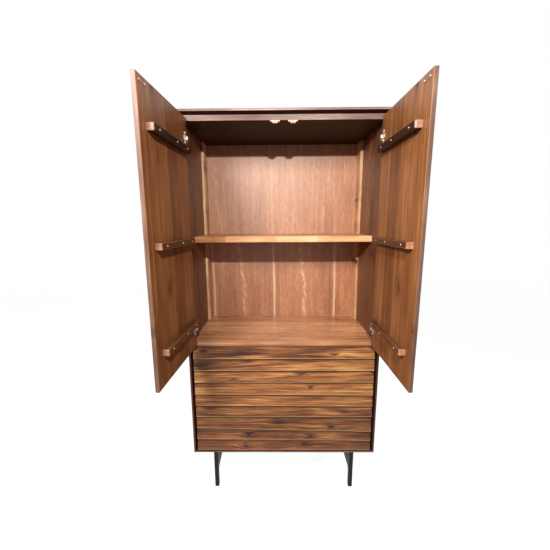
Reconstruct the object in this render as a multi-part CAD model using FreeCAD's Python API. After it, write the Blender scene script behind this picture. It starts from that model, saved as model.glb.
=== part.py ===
import FreeCAD, Part
import math
import os

from FreeCAD import Vector

# All sizes are in millimetres: X to the right, Y from the front to the back, Z up from the floor

# Case of four mitred panels with bevelled front edges
case_width = 1000.0
case_depth = 530.0
case_height = 1775.0
case_panel_thickness = 19.0
front_edge_thickness = 10.0
front_bevel_depth = 26.0
arris = 1.5

# Back of the case
back_panel_thickness = 10.0
back_panel_recess = 6.0
back_stile_thickness = 16.0
back_stile_depth = 88.0

# Ceiling and floor of the cupboard, which the doors close against
stop_setback = 28.0
ceiling_thickness = 25.0
floor_thickness = 20.0
floor_above_door_foot = 16.0

# Loose shelf on four pins
shelf_thickness = 32.5
shelf_front_setback = 166.0
shelf_top_above_case_foot = 1188.0
shelf_end_clearance = 1.0
shelf_pin_radius = 2.5
shelf_pin_embedded = 10.0
shelf_pin_projection = 9.0
shelf_pin_clearance = 0.05
shelf_pin_edge_distance = 34.0

# Steel leg frames
leg_height = 246.0
leg_tube = 22.0
leg_tube_wall = 2.0
leg_side_setback = 104.0
leg_front_setback = 30.0
leg_web_thickness = 6.0
leg_web_foot = 112.0
leg_web_fillet = 25.0
leg_flange_thickness = 3.0
leg_screw_count = 3
foot_cap_height = 6.0
foot_cap_plug_height = 15.0
foot_cap_clearance = 0.2
foot_cap_fillet = 3.0

# Slatted fronts: a flat backing board with overlapping wedge slats
front_gap = 3.0
front_setback = 1.5
backing_thickness = 16.5
door_slat_thickness = 6.0
drawer_slat_thickness = 10.0
slat_head_thickness = 2.0
slat_gap = 1.5
slat_undercut = 4.0
slat_line_slope_shares = (0.0095, 0.022, 0.004, 0.007, 0, 0)

# Drawers
drawer_levels = ("lower", "middle", "upper")
drawer_front_height = 200.0
lowest_slat_overhang = 8.5
drawer_slat_count = 3
drawer_side_thickness = 12.0
drawer_side_height = 140.0
drawer_back_gap = 20.0
drawer_box_lift = 25.0
drawer_bottom_thickness = 6.0
drawer_bottom_lift = 10.0
drawer_groove_depth = 6.0

# Telescopic drawer runners
runner_space = 12.5
runner_height = 35.0
runner_wall = 1.2
runner_front_gap = 10.0
runner_rail_width = 10.0
runner_clearance = 0.6

# Doors
door_slat_count = 17
door_slat_margin = 14.0
right_door_rest_angle = 90.0
left_door_rest_angle = 93.6
door_foot_reveal = 3.0
door_head_reveal = 11.0
batten_height = 27.0
batten_thickness = 27.0
batten_hinge_margin = 24.0
batten_free_margin = 54.0
batten_end_radius = 8.0
batten_foot_distance = 139.5
batten_head_distance = 155.0
batten_screw_margin = 50.0
batten_screw_shares = (0, 5 / 12, 1)

# Single-pivot concealed hinges
hinge_end_distance = 94.0
hinge_edge_inset = 9.0
hinge_depth = 10.0
cup_radius = 17.5
cup_depth = 13.8
cup_wall = 0.8
cup_edge_margin = 3.0
cup_clearance = 0.05
flange_thickness = 1.2
flange_rim = 1.0
flange_ear_length = 55.0
flange_ear_width = 14.0
flange_ear_fillet = 6.0
cup_screw_spacing = 42.0
cheek_gap = 1.2
cheek_thickness = 2.2
cheek_reach = 3.2
pin_radius = 1.25
pin_seat_clearance = 0.02
pin_running_clearance = 0.05
arm_thickness = 2.4
arm_width = 14.0
arm_eye_radius = 2.6
arm_neck_drop = 1.1
arm_hook_reach = 19.0
arm_hook_rise = 20.0
arm_bend_radius = 5.0
arm_length = 75.0
plate_boss_thickness = 6.0
plate_boss_start = 26.0
plate_wing_thickness = 2.5
plate_wing_width = 16.0
plate_wing_length = 54.0
plate_wing_place = 50.0
plate_wing_fillet = 5.0
plate_screw_spacing = 40.0
arm_screw_place = 66.0

# Magnetic catches and their strike plates
catch_offset = 42.0
catch_width = 45.0
catch_ear_thickness = 4.0
catch_ear_reach = 8.5
catch_taper = 3.0
catch_height = 12.0
catch_depth = 16.0
catch_setback = 1.0
catch_screw_spacing = 36.5
pole_width = 18.0
pole_thickness = 1.6
pole_spacing = 4.6
pole_lift = 1.0
pole_strike_gap = 0.5
pole_tail = 12.0
strike_thickness = 1.2
strike_end_radius = 7.0
strike_waist = 8.0
strike_screw_spacing = 40.0

# Pan-headed screws with a cross recess
screw_head_radius = 4.0
screw_head_height = 2.2
screw_head_bevel = 1.2
screw_shank_radius = 1.8
screw_clearance = 0.1
screw_grip = 10.0
recess_length = 4.6
recess_width = 0.9
recess_depth = 1.2

# Cutters reach past the faces they open by this much, and edges count as parallel within this sine
overrun = 2.0
straightness = 0.01

# Places that follow from the sizes
right, back, up = Vector(1, 0, 0), Vector(0, 1, 0), Vector(0, 0, 1)
half_width = case_width / 2
inner_half_width = half_width - case_panel_thickness
case_foot = leg_height
case_head = case_foot + case_height
inner_foot = case_foot + case_panel_thickness
inner_head = case_head - case_panel_thickness
back_panel_front = case_depth - back_panel_recess - back_panel_thickness

front_edge_x = inner_half_width - front_gap
door_front = front_setback + door_slat_thickness
backing_back = door_front + backing_thickness
drawer_front = front_setback + drawer_slat_thickness
drawer_front_back = drawer_front + backing_thickness

drawer_pitch = drawer_front_height + front_gap
drawers_foot = inner_foot + front_gap - lowest_slat_overhang
drawers_head = drawers_foot + len(drawer_levels) * drawer_pitch - front_gap
door_foot = drawers_head + door_foot_reveal
door_head = inner_head - door_head_reveal
door_free_x = front_gap / 2
door_rest_angles = {"right": right_door_rest_angle, "left": left_door_rest_angle}

floor_head = door_foot + floor_above_door_foot
shelf_foot = case_foot + shelf_top_above_case_foot - shelf_thickness
ceiling_foot = inner_head - ceiling_thickness

hinge_x = front_edge_x - hinge_edge_inset
hinge_y = backing_back - hinge_depth
hinge_levels = (door_foot + hinge_end_distance, door_head - hinge_end_distance)
cup_x = front_edge_x - cup_edge_margin - cup_radius
lower_batten_level = door_foot + batten_foot_distance
upper_batten_level = door_head - batten_head_distance
batten_levels = {
    "lower": lower_batten_level,
    "middle": (lower_batten_level + upper_batten_level) / 2,
    "upper": upper_batten_level,
}
batten_x = (door_free_x + batten_free_margin, front_edge_x - batten_hinge_margin)

catch_level = ceiling_foot - catch_ear_thickness - pole_lift - pole_spacing / 2
drawer_half_width = inner_half_width - runner_space
drawer_box_y = (drawer_front_back, back_panel_front - drawer_back_gap)
runner_y = (drawer_box_y[0] + runner_front_gap, drawer_box_y[1])


# Small building functions

def block(x, y, z):
    return Part.makeBox(x[1] - x[0], y[1] - y[0], z[1] - z[0], Vector(x[0], y[0], z[0]))


def around(middle, size):
    return (middle - size / 2, middle + size / 2)


def prism(outline, path):
    return Part.Face(Part.makePolygon(outline + outline[:1])).extrude(path)


def eased(solid):
    return solid.makeChamfer(arris, solid.Edges)


def mirrored(shape):
    return shape.mirror(Vector(0, 0, 0), right)


def both_sides(shapes):
    return shapes + [mirrored(shape) for shape in shapes]


def edges_along(solid, direction):
    return [e for e in solid.Edges if e.tangentAt(e.FirstParameter).cross(direction).Length < straightness]


def screw(seat, drive, grip):
    head = Part.makeCylinder(screw_head_radius, screw_head_height)
    rim = [e for e in head.Edges if e.BoundBox.ZMin > screw_head_height / 2]
    head = head.makeChamfer(screw_head_bevel, rim)
    shank = Part.makeCylinder(screw_shank_radius, grip, Vector(0, 0, 0), -up)
    recess_z = (screw_head_height - recess_depth, screw_head_height + overrun)
    slot = block(around(0, recess_length), around(0, recess_width), recess_z)
    cross_slot = block(around(0, recess_width), around(0, recess_length), recess_z)
    shape = head.fuse(shank).cut([slot, cross_slot])
    shape.Placement = FreeCAD.Placement(seat, FreeCAD.Rotation(-up, drive))
    return shape


def screw_hole(seat, drive, grip):
    radius = screw_shank_radius + screw_clearance
    return Part.makeCylinder(radius, grip + screw_clearance + overrun, seat - drive * overrun, drive)


def rounded_path(points, radius):
    edges = []
    start = points[0]
    for corner, following in zip(points[1:-1], points[2:]):
        behind = (start - corner).normalize()
        ahead = (following - corner).normalize()
        half_turn = behind.getAngle(ahead) / 2
        setback = radius / math.tan(half_turn)
        bisector = (behind + ahead).normalize()
        enter = corner + behind * setback
        leave = corner + ahead * setback
        crown = corner + bisector * (radius / math.sin(half_turn) - radius)
        edges.append(Part.makeLine(start, enter))
        edges.append(Part.Arc(enter, crown, leave).toShape())
        start = leave
    edges.append(Part.makeLine(start, points[-1]))
    return Part.Wire(edges)


# Case

def mitred_panel(length):
    """Panel with its outer face up at zero, its front edge bevelled below and its ends mitred."""
    t = case_panel_thickness
    section = [
        Vector(-length / 2, 0, -arris),
        Vector(-length / 2, arris, 0),
        Vector(-length / 2, case_depth - arris, 0),
        Vector(-length / 2, case_depth, -arris),
        Vector(-length / 2, case_depth, -t),
        Vector(-length / 2, front_bevel_depth, -t),
        Vector(-length / 2, 0, -front_edge_thickness),
    ]
    mitres = [
        Vector(-length / 2, 0, 0),
        Vector(length / 2, 0, 0),
        Vector(length / 2 - t, 0, -t),
        Vector(t - length / 2, 0, -t),
    ]
    return prism(section, right * length).common(prism(mitres, back * case_depth))


def placed_panel(length, middle, turn):
    panel = mitred_panel(length)
    panel.Placement = FreeCAD.Placement(middle, FreeCAD.Rotation(back, turn))
    return panel


def shelf_pin_centres():
    shelf_back = back_panel_front - back_stile_depth - shelf_end_clearance
    places = (shelf_front_setback + shelf_pin_edge_distance, shelf_back - shelf_pin_edge_distance)
    return [Vector(inner_half_width, y, shelf_foot - shelf_pin_radius) for y in places]


def shelf_pin(centre, clearance):
    tail = shelf_pin_embedded + clearance
    start = centre + right * tail
    return Part.makeCylinder(shelf_pin_radius + clearance, tail + shelf_pin_projection, start, -right)


def case_pieces():
    side_holes = [shelf_pin(centre, shelf_pin_clearance) for centre in shelf_pin_centres()]
    side_holes += [screw_hole(*place) for place in plate_screw_places() + arm_screw_places()]
    right_side = placed_panel(case_height, Vector(half_width, 0, (case_foot + case_head) / 2), 90)
    right_side = right_side.cut(side_holes)
    leg_holes = both_sides([screw_hole(*place) for place in leg_screw_places()])
    inside = (-inner_half_width, inner_half_width)
    stile = block((inner_half_width - back_stile_thickness, inner_half_width),
                  (back_panel_front - back_stile_depth, back_panel_front), (floor_head, ceiling_foot))
    ceiling = block(inside, (stop_setback, back_panel_front), (ceiling_foot, inner_head))
    catch_holes = both_sides([screw_hole(*place) for place in catch_screw_places()])
    shelf_side = inner_half_width - shelf_end_clearance
    shelf = block((-shelf_side, shelf_side), (shelf_front_setback, back_panel_front - shelf_end_clearance),
                  (shelf_foot, shelf_foot + shelf_thickness))
    notch = block((shelf_side - back_stile_thickness, shelf_side + overrun),
                  (back_panel_front - back_stile_depth - shelf_end_clearance, back_panel_front),
                  (shelf_foot - overrun, shelf_foot + shelf_thickness + overrun))
    return {
        "top_panel": placed_panel(case_width, Vector(0, 0, case_head), 0),
        "bottom_panel": placed_panel(case_width, Vector(0, 0, case_foot), 180).cut(leg_holes),
        "right_side_panel": right_side,
        "left_side_panel": mirrored(right_side),
        "back_panel": block(inside, (back_panel_front, back_panel_front + back_panel_thickness),
                            (inner_foot, inner_head)),
        "right_back_stile": stile,
        "left_back_stile": mirrored(stile),
        "cupboard_ceiling": ceiling.cut(catch_holes),
        "cupboard_floor": block(inside, (stop_setback, back_panel_front),
                                (floor_head - floor_thickness, floor_head)),
        "shelf": eased(shelf.cut(both_sides([notch]))),
        "shelf_pins": Part.makeCompound(both_sides([shelf_pin(c, 0) for c in shelf_pin_centres()])),
    }


# Leg frames

leg_x = (half_width - leg_side_setback - leg_tube, half_width - leg_side_setback)
leg_rear = case_depth - leg_front_setback
leg_inner_y = (leg_front_setback + leg_tube, leg_rear - leg_tube)
leg_places = ((leg_front_setback, leg_inner_y[0]), (leg_inner_y[1], leg_rear))


def leg_screw_places():
    free_strip = (leg_x[0] + leg_web_thickness, leg_x[1])
    pitch = (leg_inner_y[1] - leg_inner_y[0]) / (leg_screw_count + 1)
    seats = [Vector(sum(free_strip) / 2, leg_inner_y[0] + pitch * (i + 1), case_foot - leg_flange_thickness)
             for i in range(leg_screw_count)]
    return [(seat, up, leg_flange_thickness + screw_grip) for seat in seats]


def leg_frame():
    """Two square tubes joined by a deep web with an arched foot and a flange under the case."""
    web_x = (leg_x[0], leg_x[0] + leg_web_thickness)
    web = block(web_x, leg_inner_y, (leg_web_foot - leg_web_fillet, case_foot))
    arch = block((web_x[0] - overrun, web_x[1] + overrun), leg_inner_y, (0, leg_web_foot))
    crown_edges = [e for e in edges_along(arch, right) if e.BoundBox.ZMin > leg_web_foot / 2]
    frame = web.cut(arch.makeFillet(leg_web_fillet, crown_edges))
    frame = frame.fuse(block(leg_x, leg_inner_y, (case_foot - leg_flange_thickness, case_foot)))
    for y in leg_places:
        tube = block(leg_x, y, (foot_cap_height, case_foot))
        hollow = block((leg_x[0] + leg_tube_wall, leg_x[1] - leg_tube_wall),
                       (y[0] + leg_tube_wall, y[1] - leg_tube_wall),
                       (foot_cap_height - overrun, case_foot - leg_tube_wall))
        frame = frame.fuse(tube.cut(hollow))
    holes = [screw_hole(*place) for place in leg_screw_places()]
    return frame.removeSplitter().cut(holes)


def foot_cap(y):
    cap = block(leg_x, y, (0, foot_cap_height))
    cap = cap.makeFillet(foot_cap_fillet, edges_along(cap, up))
    inset = leg_tube_wall + foot_cap_clearance
    plug = block((leg_x[0] + inset, leg_x[1] - inset), (y[0] + inset, y[1] - inset),
                 (foot_cap_height, foot_cap_height + foot_cap_plug_height))
    return cap.fuse(plug)


def leg_pieces():
    frame = leg_frame()
    return {
        "right_leg_frame": frame,
        "left_leg_frame": mirrored(frame),
        "foot_caps": Part.makeCompound(both_sides([foot_cap(y) for y in leg_places])),
    }


# Slatted fronts

def slat_section(x, foot, head, thickness):
    rear = front_setback + thickness
    corners = [
        Vector(x, rear, foot + slat_undercut),
        Vector(x, front_setback + arris, foot),
        Vector(x, front_setback, foot + arris),
        Vector(x, rear - slat_head_thickness, head),
        Vector(x, rear, head),
    ]
    return Part.makePolygon(corners + corners[:1])


def slats(x, z, count, first_line, thickness):
    """Hand-cut clapboard slats: thin at the head, proud and undercut at the foot, on lines that may slope."""
    inner_lines = range(first_line, first_line + count - 1)
    slopes = [slat_line_slope_shares[line % len(slat_line_slope_shares)] for line in inner_lines]
    drops = [slope * (x[1] - x[0]) for slope in [0] + slopes + [0]]
    pitch = (z[1] - z[0] + slat_gap) / count
    rear = front_setback + thickness
    plan = prism([
        Vector(x[0], rear, z[0]),
        Vector(x[0], front_setback + arris, z[0]),
        Vector(x[0] + arris, front_setback, z[0]),
        Vector(x[1] - arris, front_setback, z[0]),
        Vector(x[1], front_setback + arris, z[0]),
        Vector(x[1], rear, z[0]),
    ], up * (z[1] - z[0]))
    shapes = []
    for i in range(count):
        foot = z[0] + i * pitch
        head = foot + pitch - slat_gap
        left_end = slat_section(x[0], foot, head, thickness)
        right_end = slat_section(x[1], foot - drops[i], head - drops[i + 1], thickness)
        shapes.append(Part.makeLoft([left_end, right_end], True, True).common(plan))
    return Part.makeCompound(shapes)


# Drawers

def runner_profile(x_web, x_lip, half_height, wall, y, z):
    """Channel standing on its web, open towards the lips."""
    outer = block(tuple(sorted((x_web, x_lip))), y, (z - half_height, z + half_height))
    inner_web = x_web + math.copysign(wall, x_lip - x_web)
    past_lip = x_lip + math.copysign(overrun, x_lip - x_web)
    hollow = block(tuple(sorted((inner_web, past_lip))), (y[0] - overrun, y[1] + overrun),
                   (z - half_height + wall, z + half_height - wall))
    return outer.cut(hollow)


def drawer_runner_level(foot):
    return foot + drawer_box_lift + drawer_side_height / 2


def case_runners():
    shapes = []
    for i in range(len(drawer_levels)):
        level = drawer_runner_level(drawers_foot + i * drawer_pitch)
        shapes.append(runner_profile(inner_half_width, inner_half_width - runner_rail_width,
                                     runner_height / 2, runner_wall, runner_y, level))
    return Part.makeCompound(both_sides(shapes))


def drawer_pieces(number):
    foot = drawers_foot + number * drawer_pitch
    head = foot + drawer_front_height
    first_line = number * (drawer_slat_count - 1)
    side_z = (foot + drawer_box_lift, foot + drawer_box_lift + drawer_side_height)
    bottom_z = (side_z[0] + drawer_bottom_lift, side_z[0] + drawer_bottom_lift + drawer_bottom_thickness)
    inner_x = drawer_half_width - drawer_side_thickness
    bottom_x = inner_x + drawer_groove_depth
    bottom_y = (drawer_front_back - drawer_groove_depth, drawer_box_y[1])
    bottom = block((-bottom_x, bottom_x), bottom_y, bottom_z)
    board_z = (max(foot, inner_foot + front_gap), head)
    front_board = eased(block((-front_edge_x, front_edge_x), (drawer_front, drawer_front_back), board_z))
    side = block((inner_x, drawer_half_width), drawer_box_y, side_z).cut(bottom)
    back_y = (drawer_box_y[1] - drawer_side_thickness, drawer_box_y[1])
    back_board = block((-inner_x, inner_x), back_y, (bottom_z[1], side_z[1]))
    nested_half_height = runner_height / 2 - runner_wall - runner_clearance
    runner = runner_profile(drawer_half_width, drawer_half_width + runner_rail_width, nested_half_height,
                            runner_wall, runner_y, drawer_runner_level(foot))
    return {
        "front_board": front_board.cut(bottom),
        "front_slats": slats((-front_edge_x, front_edge_x), (foot, head), drawer_slat_count, first_line,
                             drawer_slat_thickness),
        "right_side": side,
        "left_side": mirrored(side),
        "back_board": back_board,
        "bottom_board": bottom,
        "runners": Part.makeCompound(both_sides([runner])),
    }


# Hinges, drawn for the right door in its closed place

def cup_screw_places():
    seats = [Vector(cup_x, backing_back + flange_thickness, level + offset)
             for level in hinge_levels for offset in around(0, cup_screw_spacing)]
    return [(seat, -back, flange_thickness + screw_grip) for seat in seats]


def plate_screw_places():
    seats = [Vector(inner_half_width - plate_wing_thickness, hinge_y + plate_wing_place, level + offset)
             for level in hinge_levels for offset in around(0, plate_screw_spacing)]
    return [(seat, right, plate_wing_thickness + screw_grip) for seat in seats]


def arm_screw_places():
    stack = plate_boss_thickness + arm_thickness
    seats = [Vector(inner_half_width - stack, hinge_y + arm_screw_place, level) for level in hinge_levels]
    return [(seat, right, stack + screw_grip) for seat in seats]


def hinge_cup(level):
    """Flanged cup with two cheeks that hold the pin."""
    floor = Vector(cup_x, backing_back - cup_depth, level)
    flange_y = (backing_back, backing_back + flange_thickness)
    ear = block(around(cup_x, flange_ear_width), flange_y, around(level, flange_ear_length))
    ear = ear.makeFillet(flange_ear_fillet, edges_along(ear, back))
    disc = Part.makeCylinder(cup_radius + flange_rim, flange_thickness,
                             Vector(cup_x, flange_y[0], level), back)
    cavity = Part.makeCylinder(cup_radius - cup_wall, cup_depth + overrun, floor + back * cup_wall, back)
    cup = Part.makeCylinder(cup_radius, cup_depth, floor, back).fuse([ear, disc]).cut(cavity)
    for outward in (-1, 1):
        near = level + outward * (arm_width / 2 + cheek_gap)
        cheek = block((hinge_x - cheek_reach, hinge_x + cup_radius),
                      (floor.y + cup_wall, hinge_y + cheek_reach),
                      tuple(sorted((near, near + outward * cheek_thickness))))
        cup = cup.fuse(cheek.common(cavity))
    bore = hinge_pin(level, pin_seat_clearance)
    holes = [screw_hole(*place) for place in cup_screw_places()]
    return cup.removeSplitter().cut([bore] + holes)


def hinge_pin(level, clearance):
    length = arm_width + 2 * (cheek_gap + cheek_thickness)
    return Part.makeCylinder(pin_radius + clearance, length, Vector(hinge_x, hinge_y, level - length / 2), up)


def hinge_arm(level):
    """Gooseneck strip that reaches round the door's edge into the cup and ends in an eye on the pin."""
    rear_x = inner_half_width - plate_boss_thickness - arm_thickness / 2
    z = level - arm_width / 2
    path = rounded_path([
        Vector(hinge_x, hinge_y - arm_neck_drop, z),
        Vector(hinge_x - arm_hook_reach, hinge_y - arm_neck_drop, z),
        Vector(hinge_x - arm_hook_reach, hinge_y + arm_hook_rise, z),
        Vector(rear_x, hinge_y + arm_hook_rise, z),
        Vector(rear_x, hinge_y + arm_length, z),
    ], arm_bend_radius)
    strip = Part.Face(path.makeOffset2D(arm_thickness / 2)).extrude(up * arm_width)
    eye = Part.makeCylinder(arm_eye_radius, arm_width, Vector(hinge_x, hinge_y, z), up)
    bore = hinge_pin(level, pin_running_clearance)
    holes = [screw_hole(*place) for place in arm_screw_places()]
    return strip.fuse(eye).removeSplitter().cut([bore] + holes)


def hinge_plate(level):
    boss = block((inner_half_width - plate_boss_thickness, inner_half_width),
                 (hinge_y + plate_boss_start, hinge_y + arm_length), around(level, arm_width))
    wing = block((inner_half_width - plate_wing_thickness, inner_half_width),
                 around(hinge_y + plate_wing_place, plate_wing_width), around(level, plate_wing_length))
    wing = wing.makeFillet(plate_wing_fillet, edges_along(wing, right))
    holes = [screw_hole(*place) for place in plate_screw_places() + arm_screw_places()]
    return boss.fuse(wing).removeSplitter().cut(holes)


# Catches

def catch_screw_places():
    seats = [Vector(catch_offset + offset, stop_setback + catch_setback + catch_depth / 2,
                    ceiling_foot - catch_ear_thickness) for offset in around(0, catch_screw_spacing)]
    return [(seat, up, catch_ear_thickness + screw_grip) for seat in seats]


def pole_plates():
    front = backing_back + strike_thickness + pole_strike_gap
    end = stop_setback + catch_setback + pole_tail
    x = around(catch_offset, pole_width)
    return [block(x, (front, end), around(catch_level + offset, pole_thickness))
            for offset in around(0, pole_spacing)]


def catch_housing():
    """Tapered housing under the ceiling with an ear at each end."""
    start = stop_setback + catch_setback
    ear_foot = ceiling_foot - catch_ear_thickness
    foot = ceiling_foot - catch_height
    body_half = catch_width / 2 - catch_ear_reach
    half_outline = [
        (catch_width / 2, ceiling_foot),
        (catch_width / 2, ear_foot),
        (body_half, ear_foot),
        (body_half - catch_taper, foot),
    ]
    outline = [Vector(catch_offset + x, start, z) for x, z in half_outline]
    outline += [Vector(catch_offset - x, start, z) for x, z in reversed(half_outline)]
    holes = [screw_hole(*place) for place in catch_screw_places()]
    return prism(outline, back * catch_depth).cut(pole_plates() + holes)


def strike_screw_places():
    middle = Vector(catch_offset, backing_back + strike_thickness, catch_level)
    return [(middle + right * offset, -back, strike_thickness + screw_grip)
            for offset in around(0, strike_screw_spacing)]


def strike_plate():
    """Thin plate with two round ends and a narrower waist."""
    y = (backing_back, backing_back + strike_thickness)
    plate = block(around(catch_offset, strike_screw_spacing), y, around(catch_level, strike_waist))
    centres = [Vector(x, y[0], catch_level) for x in around(catch_offset, strike_screw_spacing)]
    ends = [Part.makeCylinder(strike_end_radius, strike_thickness, centre, back) for centre in centres]
    holes = [screw_hole(*place) for place in strike_screw_places()]
    return plate.fuse(ends).removeSplitter().cut(holes)


def hardware_pieces():
    arms = [hinge_arm(level) for level in hinge_levels]
    plates = [hinge_plate(level) for level in hinge_levels]
    places = plate_screw_places() + arm_screw_places() + catch_screw_places() + leg_screw_places()
    return {
        "hinge_arms": Part.makeCompound(both_sides(arms)),
        "hinge_plates": Part.makeCompound(both_sides(plates)),
        "catch_housings": Part.makeCompound(both_sides([catch_housing()])),
        "catch_pole_plates": Part.makeCompound(both_sides(pole_plates())),
        "case_screws": Part.makeCompound(both_sides([screw(*place) for place in places])),
        "case_runners": case_runners(),
    }


# Doors, drawn for the right door in its closed place

def batten_screws(level):
    seat_y = backing_back + batten_thickness
    outermost_x = batten_x[1] - batten_screw_margin
    span = outermost_x - batten_x[0] - batten_screw_margin
    seats = [Vector(outermost_x - span * share, seat_y, level) for share in batten_screw_shares]
    return [(seat, -back, batten_thickness + screw_grip) for seat in seats]


def batten(level):
    """Straight batten with the two front corners of its ends rounded off."""
    front = backing_back + batten_thickness
    bar = block(batten_x, (backing_back, front), around(level, batten_height))
    front_corners = [e for e in edges_along(bar, up) if e.BoundBox.YMax > front - arris]
    bar = bar.makeFillet(batten_end_radius, front_corners)
    outlines = [e for e in bar.Edges if e.BoundBox.ZLength < arris]
    bar = bar.makeChamfer(arris, outlines)
    return bar.cut([screw_hole(*place) for place in batten_screws(level)])


def door_pieces():
    places = cup_screw_places() + strike_screw_places()
    for level in batten_levels.values():
        places += batten_screws(level)
    bore_depth = cup_depth + cup_clearance + overrun
    mouths = [Vector(cup_x, backing_back + overrun, level) for level in hinge_levels]
    cup_bores = [Part.makeCylinder(cup_radius + cup_clearance, bore_depth, mouth, -back) for mouth in mouths]
    board = eased(block((door_free_x, front_edge_x), (door_front, backing_back), (door_foot, door_head)))
    pieces = {
        "door_board": board.cut(cup_bores + [screw_hole(*place) for place in places]),
        "door_slats": slats((door_free_x + door_slat_margin, front_edge_x), (door_foot, door_head),
                            door_slat_count, 0, door_slat_thickness),
        "door_screws": Part.makeCompound([screw(*place) for place in places]),
        "strike_plate": strike_plate(),
        "hinge_cups": Part.makeCompound([hinge_cup(level) for level in hinge_levels]),
        "hinge_pins": Part.makeCompound([hinge_pin(level, 0) for level in hinge_levels]),
    }
    for name, level in batten_levels.items():
        pieces[name + "_batten"] = batten(level)
    return pieces


# Whole cabinet with the doors open and the drawers shut

nodes = {}
nodes.update(case_pieces())
nodes.update(leg_pieces())
nodes.update(hardware_pieces())
for name, closed_shape in door_pieces().items():
    for side, angle in door_rest_angles.items():
        shape = closed_shape.copy()
        shape.rotate(Vector(hinge_x, hinge_y, 0), up, angle)
        nodes[side + "_" + name] = shape if side == "right" else mirrored(shape)
for i, level_name in enumerate(drawer_levels):
    for name, shape in drawer_pieces(i).items():
        nodes[level_name + "_drawer_" + name] = shape

# The origin is on the floor in the middle of the footprint, open doors included
footprint = Part.makeCompound(list(nodes.values())).BoundBox
origin_y = (footprint.YMin + footprint.YMax) / 2

os.makedirs("parts", exist_ok=True)
for name, shape in nodes.items():
    shape.translate(Vector(0, -origin_y, 0))
    shape.exportStep("parts/" + name + ".step")
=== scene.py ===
import math

import bpy
from mathutils import Matrix, Vector

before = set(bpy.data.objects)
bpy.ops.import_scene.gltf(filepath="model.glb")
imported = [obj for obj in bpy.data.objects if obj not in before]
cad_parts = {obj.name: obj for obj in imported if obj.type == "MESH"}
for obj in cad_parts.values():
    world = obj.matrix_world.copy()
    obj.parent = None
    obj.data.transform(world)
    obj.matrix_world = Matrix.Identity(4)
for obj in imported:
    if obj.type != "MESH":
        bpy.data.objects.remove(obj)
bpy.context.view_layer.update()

# Camera, found from the cabinet's corners in the photograph, in metres, degrees and pixels
image_size_px = 550
focal_length_px = 316.81
image_centre_px = (271.25, 281.21)
camera_place = (-0.0468, -1.6003, 1.5093)
camera_yaw = -0.614
camera_pitch = -10.568
camera_roll = -0.346
sensor_width_mm = 36.0

# Lights: a small bright one above the camera, a softer one from the upper left and a broad one
# behind. Each has a name, a place, an aim and a size in metres, and a power in watts
lights = (
    ("key_light", (0.027, -1.734, 2.221), (0.0, 0.1, 1.0), 0.04, 42.0),
    ("left_light", (-0.94, -1.77, 2.4), (0.2, 0.1, 1.0), 0.5, 62.0),
    ("back_light", (1.7, 2.3, 1.5), (0.0, 0.0, 1.1), 0.9, 45.0),
)
warm_white = (1.0, 0.94, 0.86)

# Floor and background: what they throw on the cabinet, and how bright they are to the camera
white = (1.0, 1.0, 1.0, 1.0)
sky_level = 0.015
sky_seen = 1.0
floor_reach = 14.0
floor_white = 0.25
floor_roughness = 0.9
floor_glow = 0.93


def linear(code):
    """A colour written as six hex digits, as linear values by the sRGB rule."""
    parts = [int(code[i:i + 2], 16) / 255 for i in (0, 2, 4)]
    shares = [c / 12.92 if c <= 0.04045 else ((c + 0.055) / 1.055) ** 2.4 for c in parts]
    return (*shares, 1.0)


# Shader building

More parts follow.
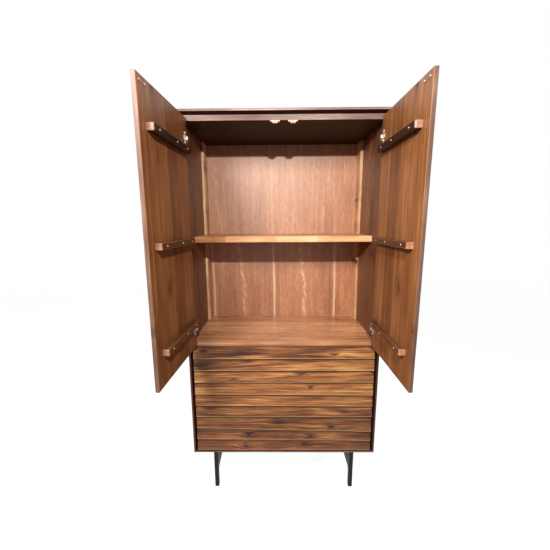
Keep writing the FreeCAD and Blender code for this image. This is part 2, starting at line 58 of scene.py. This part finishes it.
class Finish:
    """A material's node tree, with short calls for the nodes that the finishes are made of."""

    def __init__(self, name):
        self.material = bpy.data.materials.new(name)
        self.material.use_nodes = True
        self.tree = self.material.node_tree
        self.surface = self.tree.nodes["Principled BSDF"]

    def put(self, socket, value):
        if isinstance(value, bpy.types.NodeSocket):
            self.tree.links.new(value, socket)
        else:
            socket.default_value = value

    def node(self, kind, inputs, **settings):
        made = self.tree.nodes.new("ShaderNode" + kind)
        for key, value in settings.items():
            setattr(made, key, value)
        for key, value in inputs.items():
            self.put(made.inputs[key], value)
        return made

    def math(self, operation, *values):
        return self.node("Math", dict(enumerate(values)), operation=operation).outputs[0]

    def times(self, *values):
        product = values[0]
        for value in values[1:]:
            product = self.math("MULTIPLY", product, value)
        return product

    def with_share(self, base, value, share):
        """base and a share of value."""
        return self.math("MULTIPLY_ADD", value, share, base)

    def varied(self, base, value, share):
        """base, raised and lowered by a share of a value that lies around one half."""
        return self.with_share(base, self.math("SUBTRACT", value, 0.5), share)

    def away(self, value, place):
        """How far a value is from a place, on either side."""
        return self.math("ABSOLUTE", self.math("SUBTRACT", value, place))

    def vector(self, operation, *values):
        made = self.node("VectorMath", dict(enumerate(values)), operation=operation)
        return made.outputs["Value" if operation in ("LENGTH", "DOT_PRODUCT") else "Vector"]

    def axes(self, vector):
        return self.node("SeparateXYZ", {0: vector}).outputs

    def point(self, x, y, z):
        return self.node("CombineXYZ", {0: x, 1: y, 2: z}).outputs[0]

    def smooth(self, value, start, end):
        """0 before start and 1 after end, with a soft step between them."""
        inputs = {"Value": value, "From Min": start, "From Max": end, "To Min": 0.0, "To Max": 1.0}
        return self.node("MapRange", inputs, interpolation_type="SMOOTHSTEP").outputs[0]

    def spots(self, place, counts, detail=2.0, roughness=0.5):
        """Noise with so many spots to the metre along each axis of a place."""
        inputs = {"Vector": self.vector("MULTIPLY", place, counts), "Scale": 1.0,
                  "Detail": detail, "Roughness": roughness}
        return self.node("TexNoise", inputs).outputs["Fac"]

    def mix(self, share, first, second):
        """Two colours; the node's colour sockets come after those for numbers and vectors."""
        return self.node("Mix", {0: share, 6: first, 7: second}, data_type="RGBA").outputs[2]

    def ramp(self, value, stops):
        made = self.node("ValToRGB", {0: value})
        elements = made.color_ramp.elements
        while len(elements) < len(stops):
            elements.new(1.0)
        for element, (place, code) in zip(elements, stops):
            element.position = place
            element.color = linear(code)
        return made.outputs[0]

    def object_place(self):
        return self.node("TexCoord", {}).outputs["Object"]

    def object_normal(self):
        return self.node("TexCoord", {}).outputs["Normal"]

    def bump(self, height, strength, distance):
        made = self.node("Bump", {"Height": height, "Strength": strength, "Distance": distance})
        self.put(self.surface.inputs["Normal"], made.outputs[0])

    def paint(self, **sockets):
        for key, value in sockets.items():
            self.put(self.surface.inputs[key.replace("_", " ")], value)


# Figure of the wood: lengths in metres, and counts to the metre along and across the grain
board_scatter = 0.55
board_shift = (9.0, 5.0)
glue_line_width = 0.0012
island_spread = 91.7
drift_count, drift_reach = (1.7, 9.0), 0.045
streak_depth_count = 30.0
streak_noise = {"detail": 4.0, "roughness": 0.6}
fine_noise = {"detail": 3.0, "roughness": 0.6}
rings_per_streak = 9.0
cloud_count = (3.6, 11.0)
fibre_count = (24.0, 700.0, 700.0)
knot_scatter, knot_stretch, smallest_knot = 0.9, 0.42, 0.6
knot_core, knot_halo = (0.0065, 0.002), (0.024, 0.0)
knot_bend = 0.012

# Shares of the figure in the tone, the gloss and the relief of the wood
streak_share, ring_share, cloud_share, fibre_share = 1.5, 0.04, 0.9, 0.16
halo_share, stave_share, joint_share = -0.22, 0.4, 0.55
gloss_change = 0.16
streak_relief, joint_relief = 0.5, -0.8
relief_strength, relief_depth = 0.25, 0.0004
# The bevel's colour is painted shade, near-black for the dark recess behind the case's front edge
knot_code, bevel_shade_code = "2a160d", "24110b"

# Range of the normal's Y in which a face is the bevel behind the case's front edge; that bevel is
# painted near-black as shade
bevel_start, bevel_end = (-0.2, -0.28), (-0.5, -0.4)

# Paler slat edges, painted shade under the slat lips and wear on bar corners, in metres, shares and
# ranges of the normal or of the openness
slat_rounding, slat_paling_share, slat_paling_facing = 0.01, 0.55, (0.06, -0.2)
slat_paling_code, slat_shade_code = "dcae7c", "140a06"
slat_shade_reach, slat_shade_openness = 0.03, (0.985, 0.78)
corner_rounding, corner_wear, corner_turn = 0.005, 0.7, (0.985, 0.8)
corner_wear_code = "b07a5c"

# Sap streaks of the back panel's veneer, in metres: they lean above one height and fade above
# another, and each has a place in the leaf, a lean, a wobble and a width
leaf_width = 0.4
lean_height, fade_heights = 1.1, (1.5, 1.3)
faint_strength, added_strength = 0.09, 0.44
wobble_count, break_count, break_range = (0.0, 0.0, 14.0), (60.0, 0.0, 26.0), (0.35, 0.65)
streak_detail = 3.0
wavy_place, wavy_lean, wavy_wobble, wavy_width = 0.15, 0.12, 0.035, 0.019
straight_place, straight_lean, straight_wobble, straight_width = 0.352, 0.03, 0.006, 0.011
shade_range, shade_share, shade_code = (0.05, 0.015), 0.12, "8a5535"
red_offset, red_width, red_share, red_code = 0.03, 0.01, 0.7, "7c4126"
glow_width, glow_share, glow_code = 0.07, 0.55, "cc8f5c"
wavy_code, straight_code = "f2cfa8", "f3d6b2"


# Wood

def boards(finish, across, board_width, feature):
    """Boards of uneven width, side by side."""
    inputs = {"W": finish.math("DIVIDE", across, board_width), "Scale": 1.0,
              "Randomness": board_scatter}
    return finish.node("TexVoronoi", inputs, voronoi_dimensions="1D", feature=feature).outputs


def board_picks(finish, across, board_width):
    """Three random numbers for the board at a place."""
    return finish.axes(boards(finish, across, board_width, "F1")["Color"])


def glue_lines(finish, across, board_width):
    """1 on the glue line between two boards and 0 off it."""
    distance = boards(finish, across, board_width, "DISTANCE_TO_EDGE")["Distance"]
    clear = finish.smooth(distance, 0.0, glue_line_width / board_width)
    return finish.math("SUBTRACT", 1.0, clear)


def island_picks(finish):
    """Three random numbers for each loose piece of a node."""
    island = finish.node("NewGeometry", {}).outputs["Random Per Island"]
    inputs = {"W": finish.times(island, island_spread)}
    return finish.axes(finish.node("TexWhiteNoise", inputs, noise_dimensions="1D").outputs["Color"])


def knots(finish, along, across, spacing, chance):
    """A dark core and a wider halo around scattered knots, longer along the grain than across."""
    place = finish.point(finish.math("DIVIDE", along, spacing[0]),
                         finish.math("DIVIDE", across, spacing[1]), 0.0)
    cells = finish.node("TexVoronoi", {"Vector": place, "Scale": 1.0, "Randomness": knot_scatter},
                        voronoi_dimensions="2D").outputs
    offset = finish.vector("SUBTRACT", place, cells["Position"])
    offset = finish.vector("MULTIPLY", offset, (spacing[0] * knot_stretch, spacing[1], 0.0))
    picks = finish.axes(cells["Color"])
    there = finish.math("LESS_THAN", picks[0], chance)
    size = finish.math("ADD", smallest_knot, picks[1])
    distance = finish.math("DIVIDE", finish.vector("LENGTH", offset), size)
    return [finish.times(there, finish.smooth(distance, *reach))
            for reach in (knot_core, knot_halo)]


def slat_edges(finish, colour):
    """Paler tone along the lower edge of each slat, and painted shade under the lip of the slat
    above it, darkest where the surface is least open.
    """
    rounded = finish.axes(finish.node("Bevel", {"Radius": slat_rounding}).outputs["Normal"])
    paling = finish.times(finish.smooth(rounded[2], *slat_paling_facing), slat_paling_share)
    colour = finish.mix(paling, colour, linear(slat_paling_code))
    # Painted shade: ambient occlusion darkens the recess under each slat's lip
    openness = finish.node("AmbientOcclusion", {"Distance": slat_shade_reach}).outputs["AO"]
    lip_shade = finish.smooth(openness, *slat_shade_openness)
    return finish.mix(lip_shade, colour, linear(slat_shade_code))


def worn_corners(finish, colour):
    """Paler wear along the long corners of a bar."""
    rounded = finish.node("Bevel", {"Radius": corner_rounding}).outputs["Normal"]
    straight = finish.node("NewGeometry", {}).outputs["Normal"]
    turned = finish.vector("DOT_PRODUCT", rounded, straight)
    paling = finish.times(finish.smooth(turned, *corner_turn), corner_wear)
    return finish.mix(paling, colour, linear(corner_wear_code))


def sap_streaks(finish, colour):
    """Pale streaks in each leaf of veneer: a wavy one, and a straight one between red lines."""
    x, _, z = finish.axes(finish.object_place())
    leaf = finish.math("WRAP", x, leaf_width, 0.0)
    above = finish.math("MAXIMUM", finish.math("SUBTRACT", z, lean_height), 0.0)
    strength = finish.with_share(faint_strength, finish.smooth(z, *fade_heights), added_strength)
    upright = finish.point(leaf, 0.0, z)
    wobble = finish.math("SUBTRACT", finish.spots(upright, wobble_count, streak_detail), 0.5)
    broken = finish.smooth(finish.spots(upright, break_count, streak_detail), *break_range)
    wavy = finish.with_share(leaf, above, wavy_lean)
    wavy = finish.away(finish.with_share(wavy, wobble, wavy_wobble), wavy_place)
    straight = finish.with_share(leaf, above, straight_lean)
    straight = finish.away(finish.with_share(straight, wobble, straight_wobble), straight_place)
    beside = finish.away(straight, red_offset)
    shade = finish.times(finish.smooth(wavy, *shade_range), shade_share)
    red = finish.times(finish.smooth(beside, red_width, 0.0), strength, red_share)
    glow = finish.times(finish.smooth(wavy, glow_width, 0.0), strength, glow_share)
    pale = finish.times(finish.smooth(wavy, wavy_width, 0.0), broken, strength)
    plain = finish.times(finish.smooth(straight, straight_width, 0.0), strength)
    for share, code in ((shade, shade_code), (red, red_code), (glow, glow_code), (pale, wavy_code),
                        (plain, straight_code)):
        colour = finish.mix(share, colour, linear(code))
    return colour


def wood(name, along, across, tones, contrast, board_width=None, board_change=0.35, lighter=0.0,
         knot_spacing=(0.32, 0.06), knot_chance=0.3, streak_count=(2.2, 42.0),
         fine_count=(11.0, 190.0), fine_share=0.75, stave_length=None, edge_tones=None,
         edge_facing=(-0.8, -0.97), bevelled=False, barred=False, lipped=False, veneered=False,
         roughness=0.42, sheen=0.3):
    """Lacquered wood with its grain along one axis and its boards side by side across another.

    Without a board width, each loose piece of the node is a board of its own.
    """
    finish = Finish(name)
    place = dict(zip("XYZ", finish.axes(finish.object_place())))
    length, width = place.pop(along), place.pop(across)
    depth, = place.values()
    picks = board_picks(finish, width, board_width) if board_width else island_picks(finish)
    length = finish.with_share(length, picks[0], board_shift[0])
    shifted = finish.with_share(width, picks[1], board_shift[1])
    core, halo = knots(finish, length, shifted, knot_spacing, knot_chance)

    drift = finish.spots(finish.point(length, shifted, picks[2]), (*drift_count, 1.0))
    bent = finish.with_share(finish.with_share(shifted, drift, drift_reach), halo, knot_bend)
    inside = finish.point(length, bent, depth)
    streaks = finish.spots(inside, (*streak_count, streak_depth_count), **streak_noise)
    figure = finish.spots(inside, (*fine_count, fine_count[1]), **fine_noise)
    rings = finish.math("SINE", finish.times(bent, streak_count[1] * rings_per_streak))
    clouds = finish.spots(finish.point(length, shifted, picks[1]), (*cloud_count, 1.0))
    fibre = finish.spots(finish.point(length, width, depth), fibre_count)

    tone = finish.varied(0.5, streaks, streak_share * contrast)
    tone = finish.with_share(tone, rings, ring_share * contrast)
    tone = finish.varied(tone, figure, fine_share * contrast)
    tone = finish.varied(tone, clouds, cloud_share * contrast)
    tone = finish.varied(tone, fibre, fibre_share)
    tone = finish.varied(tone, picks[2], board_change)
    tone = finish.with_share(tone, halo, halo_share)
    if lighter:
        tone = finish.math("ADD", tone, lighter)
    if stave_length:
        tone = finish.varied(tone, board_picks(finish, length, stave_length)[0], stave_share)
    colour = finish.ramp(tone, tones)
    if barred:
        colour = worn_corners(finish, colour)
    if bevelled or edge_tones:
        facing = finish.axes(finish.object_normal())[1]
    # Painted shade: the bevel faces behind the front edge are made near-black
    if bevelled:
        bevel = finish.times(finish.smooth(facing, *bevel_start), finish.smooth(facing, *bevel_end))
        colour = finish.mix(bevel, colour, linear(bevel_shade_code))
    # Front-facing faces take their own tones, painted for the light and shade that the lamps give
    # those edges and ends
    if edge_tones:
        edge = finish.smooth(facing, *edge_facing)
        colour = finish.mix(edge, colour, finish.ramp(tone, edge_tones))
    colour = finish.mix(core, colour, linear(knot_code))
    relief = finish.with_share(fibre, streaks, streak_relief)
    if board_width:
        joint = glue_lines(finish, width, board_width)
        colour = finish.mix(finish.times(joint, joint_share), colour, linear(knot_code))
        relief = finish.with_share(relief, joint, joint_relief)
    if lipped:
        colour = slat_edges(finish, colour)
    if veneered:
        colour = sap_streaks(finish, colour)
    gloss = finish.varied(roughness, fibre, gloss_change)
    finish.paint(Base_Color=colour, Roughness=gloss, Specular_IOR_Level=sheen)
    finish.bump(relief, relief_strength, relief_depth)
    return finish


# Tones of the woods, each from dark to pale with its place on the ramp
slat_tones = ((0.08, "301b12"), (0.34, "643d26"), (0.55, "915d39"), (0.76, "b5824c"),
              (0.95, "d8aa6a"))
door_tones = ((0.10, "4d2c17"), (0.40, "724526"), (0.62, "885732"), (0.90, "a57247"))
case_tones = ((0.10, "371d13"), (0.42, "573421"), (0.65, "6c442b"), (0.92, "8e6040"))
back_tones = ((0.08, "693b23"), (0.40, "935b39"), (0.62, "a76f49"), (0.92, "c9986e"))
stile_tones = ((0.08, "8a5c40"), (0.40, "b98a66"), (0.62, "d0a680"), (0.92, "ecd0ae"))
# Painted highlight: pale, pinkish front edges of the top and bottom panels and the cupboard
# ceiling, for the sheen they catch
lit_front_edge_tones = ((0.10, "563f38"), (0.42, "705a53"), (0.65, "846e67"), (0.92, "a08c85"))
# Painted light on the doors' front edges: greyer for their sheen, and kept dark so that the near
# lamp does not wash them out
door_sheen_edge_tones = ((0.10, "382821"), (0.42, "523c34"), (0.65, "664e45"), (0.92, "826a60"))
batten_tones = ((0.10, "311b0e"), (0.40, "4a2b17"), (0.62, "5a381f"), (0.90, "70492b"))
# Painted shade: the upper battens are darker than the others, for the shade on their faces
shaded_upper_batten_tones = ((0.10, "200f08"), (0.40, "33190f"), (0.62, "402213"), (0.90, "522f1c"))
# Painted highlight: paler, pinker ends of the battens, for the light that falls on them
lit_batten_end_tones = ((0.10, "704832"), (0.40, "8a5f48"), (0.62, "9c7058"), (0.90, "b48a70"))
lit_upper_end_tones = ((0.10, "7c5a4e"), (0.40, "927064"), (0.62, "a28074"), (0.90, "b89688"))
# Painted shade: near-black tones for the top and bottom panels, whose underside is in shadow, and
# for the side panels' front edges
painted_shade_tones = ((0.10, "1d0d08"), (0.42, "331a10"), (0.65, "432416"), (0.92, "5c3520"))
# Painted shade: the cupboard ceiling is darkened for the shadow under it
shaded_ceiling_tones = ((0.10, "150a06"), (0.42, "26130c"), (0.65, "331b11"), (0.92, "462818"))
floor_tones = ((0.10, "724529"), (0.40, "9f6b45"), (0.62, "ba835a"), (0.92, "dcaa7e"))
shelf_tones = ((0.10, "8a5836"), (0.40, "b0784c"), (0.62, "c8946a"), (0.92, "e2b890"))
drawer_tones = ((0.10, "a58260"), (0.45, "c2a27c"), (0.65, "cfb28c"), (0.92, "e0c8a6"))


# Metal and coatings: counts to the metre, and shares of the colour, the gloss and the relief
scratch_count, scratch_detail, scratch_gloss = 90.0, 3.0, 0.2
haze_count, haze_depth = 35.0, 0.72
speckle_detail, speckle_share, speckle_gloss = 3.0, 0.5, 0.14
speckle_strength, speckle_depth = 0.2, 0.0002
patch_count, patch_share = 9.0, 0.5
coat_sheen = 0.25
fitting_upright_count, runner_upright_count = 20.0, 500.0


def metal(name, code, roughness, upright_count):
    """Brushed metal, with a faint haze."""
    finish = Finish(name)
    place = finish.object_place()
    scratches = finish.spots(place, (scratch_count, scratch_count, upright_count), scratch_detail)
    haze = finish.spots(place, (haze_count,) * 3)
    pale = linear(code)
    deep = (*(c * haze_depth for c in pale[:3]), 1.0)
    gloss = finish.with_share(roughness, scratches, scratch_gloss)
    finish.paint(Base_Color=finish.mix(haze, deep, pale), Metallic=1.0, Roughness=gloss)
    return finish


def coated(name, dark_code, pale_code, roughness, speckle_count):
    """A finely speckled coat or plastic."""
    finish = Finish(name)
    place = finish.object_place()
    speckle = finish.spots(place, (speckle_count,) * 3, speckle_detail)
    patches = finish.spots(place, (patch_count,) * 3)
    share = finish.with_share(finish.times(patches, patch_share), speckle, speckle_share)
    finish.paint(Base_Color=finish.mix(share, linear(dark_code), linear(pale_code)),
                 Roughness=finish.with_share(roughness, speckle, speckle_gloss),
                 Specular_IOR_Level=coat_sheen)
    finish.bump(speckle, speckle_strength, speckle_depth)
    return finish


# Finishes of the nodes

sides = ("right", "left")
levels = ("lower", "middle", "upper")
# Tone shift of each drawer's slats, lower to upper: the lowest drawer's slats are darker
drawer_lighter = (-0.16, -0.01, 0.0)
weld_distance = 0.00002


def dress(finish, *names):
    """Gives the named nodes a finish, in place of what they came with."""
    for name in names:
        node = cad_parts[name]
        node.data.materials.clear()
        node.data.materials.append(finish.material)


case_figure = {"contrast": 0.7, "board_width": 0.11}
batten_figure = {"contrast": 0.7, "board_width": 0.2, "knot_chance": 0.0,
                 "edge_facing": (-0.3, -0.8)}
slat_figure = {"contrast": 0.8, "streak_count": (2.6, 72.0), "knot_chance": 0.55, "lipped": True,
               "fine_count": (7.0, 160.0), "fine_share": 1.0}
box_figure = {"contrast": 0.5, "board_width": 0.07}

# Side panels: their front edges are painted dark as shade
upright_case = wood("upright_case_wood", "Z", "Y", case_tones, **case_figure, edge_tones=painted_shade_tones,
                    bevelled=True)
# Top and bottom panels: painted shade all over, with pale front edges as painted highlight
level_case = wood("level_case_wood", "X", "Y", painted_shade_tones, **case_figure,
                  edge_tones=lit_front_edge_tones, bevelled=True, sheen=0.06)
# Cupboard ceiling: painted shade, with a pale front edge as painted highlight
ceiling_wood = wood("cupboard_ceiling_wood", "X", "Y", shaded_ceiling_tones, **case_figure,
                    edge_tones=lit_front_edge_tones, sheen=0.06)
upright_back = wood("back_stile_wood", "Z", "X", stile_tones, **case_figure, knot_chance=0.7,
                    knot_spacing=(0.2, 0.05))
shelf_wood = wood("shelf_wood", "X", "Y", shelf_tones, contrast=0.7, board_width=0.09,
                  stave_length=0.22)
floor_wood = wood("cupboard_floor_wood", "X", "Y", floor_tones, contrast=0.7, board_width=0.09,
                  roughness=0.25, sheen=1.0)
back_wood = wood("back_panel_wood", "Z", "X", back_tones, contrast=0.48, board_width=0.4,
                 board_change=0.05, knot_chance=0.0, fine_count=(24.0, 170.0), fine_share=1.9,
                 veneered=True, roughness=0.5, sheen=1.0)
door_wood = wood("door_board_wood", "Z", "Y", door_tones, contrast=0.6, board_width=0.105,
                 board_change=0.25, knot_spacing=(0.5, 0.1), fine_count=(6.0, 150.0),
                 fine_share=1.2, edge_tones=door_sheen_edge_tones)
batten_wood = wood("batten_wood", "Y", "Z", batten_tones, **batten_figure,
                   edge_tones=lit_batten_end_tones, barred=True)
# Upper battens: darker tones as painted shade, paler ends as painted highlight
upper_batten = wood("shaded_upper_batten_wood", "Y", "Z", shaded_upper_batten_tones, **batten_figure,
                    edge_tones=lit_upper_end_tones)
drawer_slats = [wood(level + "_drawer_slat_wood", "X", "Z", slat_tones, **slat_figure,
                     lighter=lighter)
                for level, lighter in zip(levels, drawer_lighter)]
door_slats = wood("door_slat_wood", "Y", "Z", slat_tones, **slat_figure)
drawer_front = wood("drawer_front_wood", "X", "Z", case_tones, contrast=0.6, board_width=0.2)
drawer_length = wood("drawer_side_wood", "Y", "Z", drawer_tones, **box_figure)
drawer_width = wood("drawer_back_wood", "X", "Z", drawer_tones, **box_figure)
drawer_floor = wood("drawer_bottom_wood", "X", "Y", drawer_tones, contrast=0.5, board_width=0.3,
                    knot_chance=0.0)
nickel = metal("bright_nickel", "e2dfd8", roughness=0.3, upright_count=fitting_upright_count)
satin_nickel = metal("satin_nickel", "ece7df", roughness=0.5, upright_count=fitting_upright_count)
arm_nickel = metal("arm_nickel", "bfb7b0", roughness=0.4, upright_count=fitting_upright_count)
dull_nickel = metal("dull_nickel", "a88d84", roughness=0.45, upright_count=fitting_upright_count)
zinc = metal("zinc_steel", "a9abac", roughness=0.3, upright_count=runner_upright_count)
black_coat = coated("black_powder_coat", "070707", "121111", roughness=0.5, speckle_count=900.0)
black_plastic = coated("black_plastic", "0b0b0b", "191919", roughness=0.5, speckle_count=700.0)

dress(upright_case, "right_side_panel", "left_side_panel")
dress(upright_back, "right_back_stile", "left_back_stile")
dress(level_case, "top_panel", "bottom_panel")
dress(ceiling_wood, "cupboard_ceiling")
dress(shelf_wood, "shelf")
dress(floor_wood, "cupboard_floor")
dress(back_wood, "back_panel")
dress(black_coat, "right_leg_frame", "left_leg_frame")
dress(black_plastic, "foot_caps")
dress(arm_nickel, "hinge_arms", "hinge_plates")
dress(nickel, "case_screws", "shelf_pins")
dress(dull_nickel, "catch_housings", "catch_pole_plates")
dress(zinc, "case_runners")
for side in sides:
    dress(door_wood, side + "_door_board")
    dress(door_slats, side + "_door_slats")
    dress(nickel, side + "_door_screws", side + "_hinge_pins")
    dress(satin_nickel, side + "_hinge_cups")
    dress(dull_nickel, side + "_strike_plate")
    dress(batten_wood, side + "_lower_batten", side + "_middle_batten")
    dress(upper_batten, side + "_upper_batten")
for level, slats in zip(levels, drawer_slats):
    drawer = level + "_drawer_"
    dress(slats, drawer + "front_slats")
    dress(drawer_front, drawer + "front_board")
    dress(drawer_length, drawer + "right_side", drawer + "left_side")
    dress(drawer_width, drawer + "back_board")
    dress(drawer_floor, drawer + "bottom_board")
    dress(zinc, drawer + "runners")

# Slats are welded so that each one is a loose piece with its own random numbers
slat_nodes = [level + "_drawer_front_slats" for level in levels]
slat_nodes += [side + "_door_slats" for side in sides]
for name in slat_nodes:
    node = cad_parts[name]
    weld = node.modifiers.new("weld", "WELD")
    weld.merge_threshold = weld_distance
    normals = node.modifiers.new("face_normals", "WEIGHTED_NORMAL")
    normals.keep_sharp = False


# Floor, background, lights and camera

def seen_directly(tree):
    """1 for what the camera sees straight, in a mirror or through glass."""
    rays = tree.nodes.new("ShaderNodeLightPath").outputs
    value = rays["Is Camera Ray"]
    for name in ("Is Glossy Ray", "Is Transmission Ray"):
        join = tree.nodes.new("ShaderNodeMath")
        join.operation = "MAXIMUM"
        tree.links.new(value, join.inputs[0])
        tree.links.new(rays[name], join.inputs[1])
        value = join.outputs[0]
    return value


def make_floor():
    bpy.ops.mesh.primitive_plane_add(size=floor_reach)
    floor = bpy.context.object
    floor.name = "floor"
    finish = Finish("pale_floor")
    finish.paint(Base_Color=(floor_white,) * 3 + (1.0,), Roughness=floor_roughness)
    plain = finish.surface.outputs[0]
    glow = finish.node("Emission", {"Color": white, "Strength": floor_glow}).outputs[0]
    both = finish.node("AddShader", {0: plain, 1: glow}).outputs[0]
    choice = finish.node("MixShader", {0: seen_directly(finish.tree), 1: plain, 2: both}).outputs[0]
    finish.put(finish.tree.nodes["Material Output"].inputs["Surface"], choice)
    floor.data.materials.append(finish.material)


def make_sky():
    world = bpy.data.worlds.new("studio")
    bpy.context.scene.world = world
    world.use_nodes = True
    tree = world.node_tree
    background = tree.nodes["Background"]
    choice = tree.nodes.new("ShaderNodeMix")
    tree.links.new(seen_directly(tree), choice.inputs["Factor"])
    choice.inputs["A"].default_value = sky_level
    choice.inputs["B"].default_value = sky_seen
    tree.links.new(choice.outputs[0], background.inputs["Strength"])
    background.inputs["Color"].default_value = white


def make_light(name, place, aim, size, power):
    lamp = bpy.data.lights.new(name, "AREA")
    lamp.shape = "DISK"
    lamp.size = size
    lamp.energy = power
    lamp.color = warm_white
    light = bpy.data.objects.new(name, lamp)
    light.location = place
    light.rotation_euler = (Vector(aim) - Vector(place)).to_track_quat("-Z", "Y").to_euler()
    bpy.context.scene.collection.objects.link(light)


def make_camera():
    yaw, pitch, roll = (math.radians(a) for a in (camera_yaw, camera_pitch, camera_roll))
    ahead = Vector((math.sin(yaw) * math.cos(pitch), math.cos(yaw) * math.cos(pitch),
                    math.sin(pitch)))
    level_right = Vector((math.cos(yaw), -math.sin(yaw), 0.0))
    level_up = level_right.cross(ahead)
    image_right = level_right * math.cos(roll) + level_up * math.sin(roll)
    image_up = level_up * math.cos(roll) - level_right * math.sin(roll)
    lens = bpy.data.cameras.new("camera")
    lens.sensor_width = sensor_width_mm
    lens.lens = sensor_width_mm * focal_length_px / image_size_px
    lens.shift_x = 0.5 - image_centre_px[0] / image_size_px
    lens.shift_y = image_centre_px[1] / image_size_px - 0.5
    camera = bpy.data.objects.new("camera", lens)
    turn = Matrix((image_right, image_up, -ahead)).transposed()
    camera.matrix_world = Matrix.Translation(camera_place) @ turn.to_4x4()
    bpy.context.scene.collection.objects.link(camera)
    bpy.context.scene.camera = camera


make_floor()
make_sky()
for light in lights:
    make_light(*light)
make_camera()
bpy.context.scene.view_settings.view_transform = "Standard"
